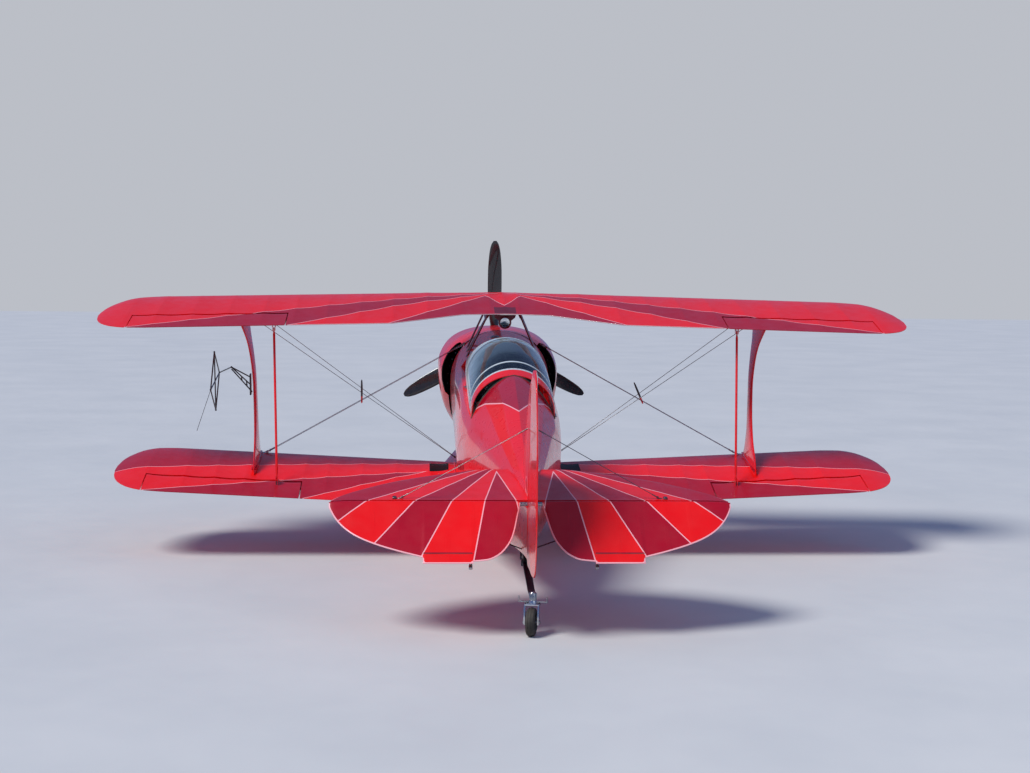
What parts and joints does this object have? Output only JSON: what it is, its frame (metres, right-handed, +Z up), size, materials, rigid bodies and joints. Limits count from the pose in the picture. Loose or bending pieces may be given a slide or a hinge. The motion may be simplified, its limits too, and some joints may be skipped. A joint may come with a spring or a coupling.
{
  "type": "two-seat aerobatic biplane",
  "caption": "Aerobatic biplane parked on its tail-wheel gear, with swept upper wing, bubble canopy, linked ailerons, elevators, rudder, propeller and wheels that move.",
  "frame": {"origin": "middle of the footprint, on the ground that the aircraft stands on", "axes": "+X to starboard along the span, +Y towards the nose, +Z up"},
  "size_m": [6.1, 5.5507, 2.339],
  "materials": {
    "red_paint": "gloss",
    "red_fabric": "gloss",
    "crimson_fabric": "gloss",
    "black_paint": "satin",
    "engine_metal": "cast",
    "steel": "brushed",
    "aluminium": "satin",
    "rubber": "matte",
    "glass": "clear",
    "leather": "satin",
    "mirror": "polished"
  },
  "bodies": {
    "root": {"fuselage": "red_fabric", "cowling_top": "red_paint", "cowling_bottom": "red_paint", "engine": "engine_metal", "upper_wing": "red_fabric", "lower_wing_R": "red_fabric", "lower_wing_L": "red_fabric", "i_strut_R": "red_paint", "i_strut_L": "red_paint", "cabane_R": "red_paint", "cabane_L": "red_paint", "flying_wires_R": "steel", "flying_wires_L": "steel", "landing_wires_R": "steel", "landing_wires_L": "steel", "sight_frame": "black_paint", "mirror": "mirror", "windshield": "glass", "panel_front": "black_paint", "panel_rear": "red_paint", "seat_front": "aluminium", "seat_rear": "aluminium", "cushion_front": "leather", "cushion_rear": "leather", "stick_front": "black_paint", "stick_rear": "black_paint", "stabilizer_R": "red_fabric", "stabilizer_L": "red_fabric", "fin": "red_fabric", "tail_wire_upper_R": "steel", "tail_wire_upper_L": "steel", "tail_wire_lower_R": "steel", "tail_wire_lower_L": "steel", "gear_leg_R": "red_paint", "gear_leg_L": "red_paint", "shock_strut_R": "black_paint", "shock_strut_L": "black_paint", "wheel_pant_R": "red_paint", "wheel_pant_L": "red_paint", "tail_spring": "steel"},
    "propeller_unit": {"propeller": "black_paint", "spinner": "red_paint"},
    "canopy": {"canopy_frame": "red_paint", "canopy_glass": "glass"},
    "aileron_top_R": {"upper_aileron_R": "crimson_fabric"},
    "aileron_top_L": {"upper_aileron_L": "crimson_fabric"},
    "aileron_low_R": {"lower_aileron_R": "crimson_fabric"},
    "aileron_low_L": {"lower_aileron_L": "crimson_fabric"},
    "link_R": {"slave_strut_R": "red_paint"},
    "link_L": {"slave_strut_L": "red_paint"},
    "elevators": {"elevator_R": "red_fabric", "elevator_L": "red_fabric"},
    "rudder_unit": {"rudder": "red_fabric"},
    "wheel_R": {"tyre_R": "rubber", "hub_R": "aluminium"},
    "wheel_L": {"tyre_L": "rubber", "hub_L": "aluminium"},
    "tail_steering": {"tail_fork": "steel"},
    "tail_wheel": {"tail_tyre": "rubber"}
  },
  "joints": [
    {"name": "propeller_spin", "type": "hinge", "parent": "root", "child": "propeller_unit", "pos_m": [0, 2.536, 1.431], "axis": [0, 0.9841, 0.1776], "continuous": true},
    {"name": "canopy_hinge", "type": "hinge", "parent": "root", "child": "canopy", "pos_m": [0.304, 0.05894, 1.13639], "axis": [0, 0.9841, 0.1776], "range_deg": [0, 90]},
    {"name": "aileron_low_R_hinge", "type": "hinge", "parent": "root", "child": "aileron_low_R", "pos_m": [1.52, 0.17384, 0.4885], "axis": [0.9987, -0.009, 0.0498], "range_deg": [-25, 25]},
    {"name": "aileron_low_L_hinge", "type": "hinge", "parent": "root", "child": "aileron_low_L", "pos_m": [-1.52, 0.17384, 0.4885], "axis": [0.9987, 0.009, -0.0498], "range_deg": [-25, 25]},
    {"name": "aileron_top_R_hinge", "type": "hinge", "parent": "root", "child": "aileron_top_R", "pos_m": [1.65, 0.53749, 1.71762], "axis": [0.9932, -0.1148, -0.0207], "range_deg": [-25, 25]},
    {"name": "aileron_top_L_hinge", "type": "hinge", "parent": "root", "child": "aileron_top_L", "pos_m": [-1.65, 0.53749, 1.71762], "axis": [0.9932, 0.1148, 0.0207], "range_deg": [-25, 25]},
    {"name": "link_R_pin", "type": "hinge", "parent": "aileron_low_R", "child": "link_R", "pos_m": [1.69, 0.11523, 0.48667], "axis": [0.9987, -0.009, 0.0498], "range_deg": [-25, 25]},
    {"name": "link_L_pin", "type": "hinge", "parent": "aileron_low_L", "child": "link_L", "pos_m": [-1.69, 0.11523, 0.48667], "axis": [0.9987, 0.009, -0.0498], "range_deg": [-25, 25]},
    {"name": "elevator_hinge", "type": "hinge", "parent": "root", "child": "elevators", "pos_m": [0, -2.27909, 0.72461], "axis": [-1, 0, 0], "range_deg": [0, 53]},
    {"name": "rudder_hinge", "type": "hinge", "parent": "root", "child": "rudder_unit", "pos_m": [0, -2.30087, 0.5581], "axis": [0, -0.1776, 0.9841], "range_deg": [-25, 25]},
    {"name": "wheel_R_spin", "type": "hinge", "parent": "root", "child": "wheel_R", "pos_m": [0.8, 1.422, 0.18], "axis": [1, 0, 0], "continuous": true},
    {"name": "wheel_L_spin", "type": "hinge", "parent": "root", "child": "wheel_L", "pos_m": [-0.8, 1.422, 0.18], "axis": [1, 0, 0], "continuous": true},
    {"name": "tail_steering_pivot", "type": "hinge", "parent": "root", "child": "tail_steering", "pos_m": [0, -2.509, 0.19], "axis": [0, 0, 1], "range_deg": [-25, 25]},
    {"name": "tail_wheel_spin", "type": "hinge", "parent": "tail_steering", "child": "tail_wheel", "pos_m": [-0.00919, -2.54587, 0.083], "axis": [0.9703, -0.2419, 0], "continuous": true}
  ],
  "couplings": [
    {"joint": "aileron_low_L_hinge", "follows": "aileron_low_R_hinge", "ratio": -1},
    {"joint": "aileron_top_R_hinge", "follows": "aileron_low_R_hinge", "ratio": 1},
    {"joint": "aileron_top_L_hinge", "follows": "aileron_low_R_hinge", "ratio": -1},
    {"joint": "link_R_pin", "follows": "aileron_low_R_hinge", "ratio": -1},
    {"joint": "link_L_pin", "follows": "aileron_low_R_hinge", "ratio": 1},
    {"joint": "tail_steering_pivot", "follows": "rudder_hinge", "ratio": 1}
  ]
}
